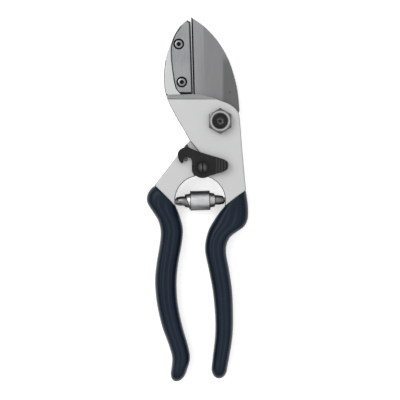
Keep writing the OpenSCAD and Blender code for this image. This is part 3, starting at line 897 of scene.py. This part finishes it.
def volute_tree():
    """A strip wound from a wide middle coil to a narrow coil at each end, each coil
    inside the one before.  u runs from -1 to 1 along the strip, s across it."""
    tree, ins, end = tree_for_pieces("volute_strip", [
        (name, F, None) for name in ("Half Length", "Barrel Radius", "Strip Width",
                                     "Strip Thickness", "Turns", "Coil Step", "Taper")]
        + [("Middle", V, None), ("Turn", V, None)])
    grid = add(tree, "GeometryNodeMeshGrid", {
        "Size X": 2.0, "Size Y": 1.0,
        "Vertices X": STRIP_POINTS[0], "Vertices Y": STRIP_POINTS[1]})
    at = add(tree, "ShaderNodeSeparateXYZ", {0: add(tree, "GeometryNodeInputPosition").outputs[0]})
    u, s = at.outputs["X"], at.outputs["Y"]
    out = maths(tree, "ABSOLUTE", u)
    sign = maths(tree, "SIGN", u)
    shrink = curve_of(tree, out, RADIUS_LINE)
    place = curve_of(tree, out, LENGTH_LINE)
    width = curve_of(tree, out, WIDTH_LINE)
    under = span(tree, u, -CROSSING, CROSSING, 1.0, 0.0)
    ease = maths(tree, "MULTIPLY", under, maths(tree, "SUBTRACT", 1.0, out))
    offset = maths(tree, "MULTIPLY", maths(tree, "MULTIPLY", s, ins["Strip Width"]), width)
    outward = maths(tree, "MAXIMUM", maths(tree, "MULTIPLY", offset, sign), 0.0)
    outward = maths(tree, "MULTIPLY", outward, span(tree, out, *TAPER_IN))
    r = maths(tree, "SUBTRACT", maths(tree, "MULTIPLY", ins["Barrel Radius"], shrink),
              maths(tree, "ADD", maths(tree, "MULTIPLY", ins["Coil Step"], ease),
                    maths(tree, "MULTIPLY", outward, ins["Taper"])))
    a = maths(tree, "ADD",
              maths(tree, "MULTIPLY", maths(tree, "MULTIPLY", sign, ins["Half Length"]), place),
              offset)
    angle = maths(tree, "MULTIPLY", maths(tree, "MULTIPLY", u, ins["Turns"]), math.tau)
    spot = add(tree, "ShaderNodeCombineXYZ", {
        0: a, 1: maths(tree, "MULTIPLY", r, maths(tree, "COSINE", angle)),
        2: maths(tree, "MULTIPLY", r, maths(tree, "SINE", angle))}).outputs[0]
    marked = grid.outputs["Mesh"]
    for name, value in (("across", s), ("along", u)):
        marked = add(tree, "GeometryNodeStoreNamedAttribute", {
            "Geometry": marked, "Name": name, "Value": value},
            data_type="FLOAT", domain="POINT").outputs[0]
    inner = add(tree, "GeometryNodeSetPosition", {"Geometry": marked, "Position": spot})
    outer = add(tree, "GeometryNodeExtrudeMesh", {
        "Mesh": inner.outputs[0], "Offset Scale": ins["Strip Thickness"], "Individual": False})
    back = add(tree, "GeometryNodeFlipFaces", {"Mesh": inner.outputs[0]})
    both = add(tree, "GeometryNodeJoinGeometry")
    tree.links.new(outer.outputs["Mesh"], both.inputs[0])
    tree.links.new(back.outputs[0], both.inputs[0])
    closed = add(tree, "GeometryNodeMergeByDistance", {
        "Geometry": both.outputs[0], "Distance": 0.005 * MM})
    put = add(tree, "GeometryNodeTransform", {
        "Geometry": closed.outputs[0], "Translation": ins["Middle"], "Rotation": ins["Turn"]})
    close_tree(tree, end, put.outputs[0], coil_steel)
    return tree


def volute_spring():
    left = Vector((spring_low.x, BLADE_SEAT_Y, mid_z))
    right = Vector((spring_high.x, ANVIL_SEAT_Y, mid_z))
    run = right - left
    middle = (left + right) / 2
    mesh = grow("volute_spring_strip", volute_tree(), {
        "Half Length": run.length / 2 * MM,
        "Barrel Radius": ((spring_high.z - spring_low.z) / 2 - STRIP_THICK) * MM,
        "Strip Width": STRIP_WIDTH * MM, "Strip Thickness": STRIP_THICK * MM, "Turns": TURNS,
        "Coil Step": COIL_STEP * MM, "Taper": TAPER, "Middle": middle * MM,
        "Turn": (math.radians(SPRING_TURN), 0.0, math.atan2(run.y, run.x))})
    made = finished("volute_spring_strip", mesh, None, "spring_steel", coil_steel,
                    smooth=40, weighted=False)
    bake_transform(made)
    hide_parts("volute_spring")


volute_spring()


# ---- Grips -------------------------------------------------------------------

# Points round a grip, and the power of its squarish section, where 1 is an ellipse
RING = 128
SQUARE = 0.78
# Steps of the outline that the round end takes
CAP_RINGS = 6
# Rings to a step of the outline, and the closer ones, in steps, at the end by the casting
FINE = 2
LIP_STEPS = [0.0, 0.06, 0.18, 0.4, 0.7, 1.0, 1.25]
# Radius of the lip at that end
LIP = 0.7
# The channel's half width and depth and the two ribs in it: places, width and height,
# all as shares of the grip's half width or half height
CHANNEL = (0.42, 0.07)
RIBS_AT = (-0.24, 0.22)
RIB = (0.07, 0.022)
# Shares of the length between which the channel comes in and goes out
CHANNEL_IN = (0.04, 0.16)
CHANNEL_OUT = (0.93, 0.83)


def grip_sides(node):
    """Points down the outer side of the grip, round its end and up the inner side."""
    found = {}
    for v in nodes[node].data.vertices:
        p = v.co / MM
        if abs(p.z - mid_z) < 0.002:
            found[(round(p.x, 2), round(p.y, 2))] = Vector((p.x, p.y))
    left = list(found.values())
    chain = [max(left, key=lambda p: p.y)]
    left.remove(chain[0])
    while left:
        near = min(left, key=lambda p: (p - chain[-1]).length)
        left.remove(near)
        chain.append(near)
    # The corners of the tang's pocket lie on the end face, between the two sides
    while (chain[-1] - chain[-2]).angle(chain[0] - chain[-2]) < math.radians(2):
        chain.pop()
    return chain


def between(points, t):
    """A smooth line through the points at t, in steps of one point."""
    i = min(int(t), len(points) - 2)
    k = t - i
    a, b, c, d = (points[max(i - 1, 0)], points[i], points[i + 1],
                  points[min(i + 2, len(points) - 1)])
    return (2 * b + (c - a) * k + (2 * a - 5 * b + 4 * c - d) * k * k
            + (3 * b - a - 3 * c + d) * k * k * k) / 2


def power(v, e):
    """v to the power e, with the sign of v."""
    return math.copysign(abs(v) ** e, v)


def ramp(v, ends):
    """0 at the first end and 1 at the second, straight between them."""
    return min(1.0, max(0.0, (v - ends[0]) / (ends[1] - ends[0])))


def grip(node, name, body):
    chain = grip_sides(node)
    count = len(chain) // 2
    pairs = [(chain[i], chain[len(chain) - 1 - i]) for i in range(count)]
    last = count - 1 - CAP_RINGS
    full = (pairs[last][1] - pairs[last][0]).length
    sizes = [1.0 if i <= last else min(1.0, (b - a).length / full)
             for i, (a, b) in enumerate(pairs)]
    outer, inner = [p[0] for p in pairs], [p[1] for p in pairs]
    bm = bmesh.new()
    highlight_layer = bm.verts.layers.float.new("rib_highlight")
    rings = []

    def ring(a, b, k, share, inset=0.0):
        c, h = (a + b) / 2, (b - a) / 2
        h = h * (1 - inset / h.length)
        tall = mid_z * k - inset
        fade = ramp(share, CHANNEL_IN) * ramp(share, CHANNEL_OUT)
        made = []
        for i in range(RING):
            q = math.tau * i / RING
            x, z = power(math.cos(q), SQUARE), power(math.sin(q), SQUARE)
            # A shallow channel runs down the front and back, with two fine ribs in it
            rib = fade * sum(math.exp(-((x - at) / RIB[0]) ** 2) for at in RIBS_AT)
            z *= 1 - CHANNEL[1] * fade * math.exp(-(x / CHANNEL[0]) ** 4) + RIB[1] * rib
            p = c + h * x
            made.append(bm.verts.new((p.x * MM, p.y * MM, (mid_z + tall * z) * MM)))
            # The ribs' share is kept for their painted highlight
            made[-1][highlight_layer] = rib
        rings.append(made)

    # The first rings go round the lip, by their distance from the casting
    start = (outer[0] + inner[0]) / 2
    for t in LIP_STEPS + [i / FINE for i in range(3, (count - 1) * FINE + 1)]:
        i = min(int(t), count - 2)
        part = t - i
        k = sizes[i] * (1 - part) + sizes[i + 1] * part
        a, b = between(outer, t), between(inner, t)
        left = max(0.0, 1 - ((a + b) / 2 - start).length / LIP)
        ring(a, b, k, t / (count - 1), LIP * (1 - math.sqrt(1 - left * left)))
    for a, b in zip(rings, rings[1:]):
        skin(bm, a, b)
    bm.faces.new(rings[0])
    bm.faces.new(list(reversed(rings[-1])))
    bmesh.ops.remove_doubles(bm, verts=bm.verts, dist=1e-6)
    bmesh.ops.recalc_face_normals(bm, faces=bm.faces)
    piece(name, bm, body, "grip_vinyl", vinyl, node, smooth=50)


grip("blade_grip", "blade_grip_vinyl", "blade_arm")
grip("anvil_grip", "anvil_grip_vinyl", "anvil_arm")


# ---- Pieces shown as they come from the frame --------------------------------

for name, material in (("blade_rivets", nut_steel), ("thrust_washer", nut_steel),
                       ("head_washer", nut_steel), ("pivot_bush", bush_metal)):
    nodes[name].data.materials.clear()
    nodes[name].data.materials.append(material)


# ---- Floor, light and camera -------------------------------------------------

# How far the floor lies below the tool, in millimetres
FLOOR_DOWN = 0.02
# Place, side and power of the lamp, in metres and watts
LAMP_AT = (-0.8, 0.5, 1.2)
LAMP_SIDE = 0.9
LAMP_WATTS = 7.0
# The camera's lens and sensor, the width it sees at the tool and the point it looks at
LENS = 200.0
SENSOR = 36.0
SEEN_WIDTH = 234.0
SEEN_MIDDLE = (-11.7, -45.9)


def floor_sheet():
    """A square sheet, its half side in metres."""
    half = 3.0
    mesh = bpy.data.meshes.new("floor_sheet")
    mesh.from_pydata([(-half, -half, 0), (half, -half, 0), (half, half, 0), (-half, half, 0)],
                     [], [(0, 1, 2, 3)])
    made = bpy.data.objects.new("floor_sheet", mesh)
    bpy.context.scene.collection.objects.link(made)
    f = Finish("floor_white", Roughness=0.9, Specular_IOR_Level=0.1)
    f.bsdf.inputs["Base Color"].default_value = (0.93, 0.93, 0.93, 1.0)
    f.bsdf.inputs["Emission Color"].default_value = (1.0, 1.0, 1.0, 1.0)
    f.bsdf.inputs["Emission Strength"].default_value = 0.5
    mesh.materials.append(f.material)
    made.location.z = -FLOOR_DOWN * MM


def soft_room():
    """An even pale dome, bright overhead and dim near the horizon."""
    world = bpy.data.worlds.new("soft_room")
    bpy.context.scene.world = world
    world.use_nodes = True
    tree = world.node_tree
    where = add(tree, "ShaderNodeTexCoord").outputs["Generated"]
    up = add(tree, "ShaderNodeSeparateXYZ", {0: where}).outputs["Z"]
    strength = span(tree, up, 0.25, 0.85, 0.22, 1.05)
    sky = tree.nodes["Background"]
    sky.inputs["Color"].default_value = (1.0, 1.0, 1.0, 1.0)
    tree.links.new(strength, sky.inputs["Strength"])


def soft_box(name, at, size, watts):
    """A square lamp that faces the origin."""
    lamp = bpy.data.lights.new(name, "AREA")
    lamp.shape = "SQUARE"
    lamp.size = size
    lamp.energy = watts
    made = bpy.data.objects.new(name, lamp)
    made.location = at
    made.rotation_euler = (-Vector(at)).to_track_quat("-Z", "Y").to_euler()
    bpy.context.scene.collection.objects.link(made)


def camera():
    """Looks straight down, as far away as its lens needs to see the width."""
    lens = bpy.data.cameras.new("camera")
    lens.lens = LENS
    lens.sensor_width = SENSOR
    made = bpy.data.objects.new("camera", lens)
    distance = SEEN_WIDTH * LENS / SENSOR
    made.location = Vector((*SEEN_MIDDLE, mid_z + distance)) * MM
    bpy.context.scene.collection.objects.link(made)
    bpy.context.scene.camera = made
    bpy.context.scene.view_settings.view_transform = "Standard"


floor_sheet()
soft_room()
soft_box("upper_left_box", LAMP_AT, LAMP_SIDE, LAMP_WATTS)
camera()
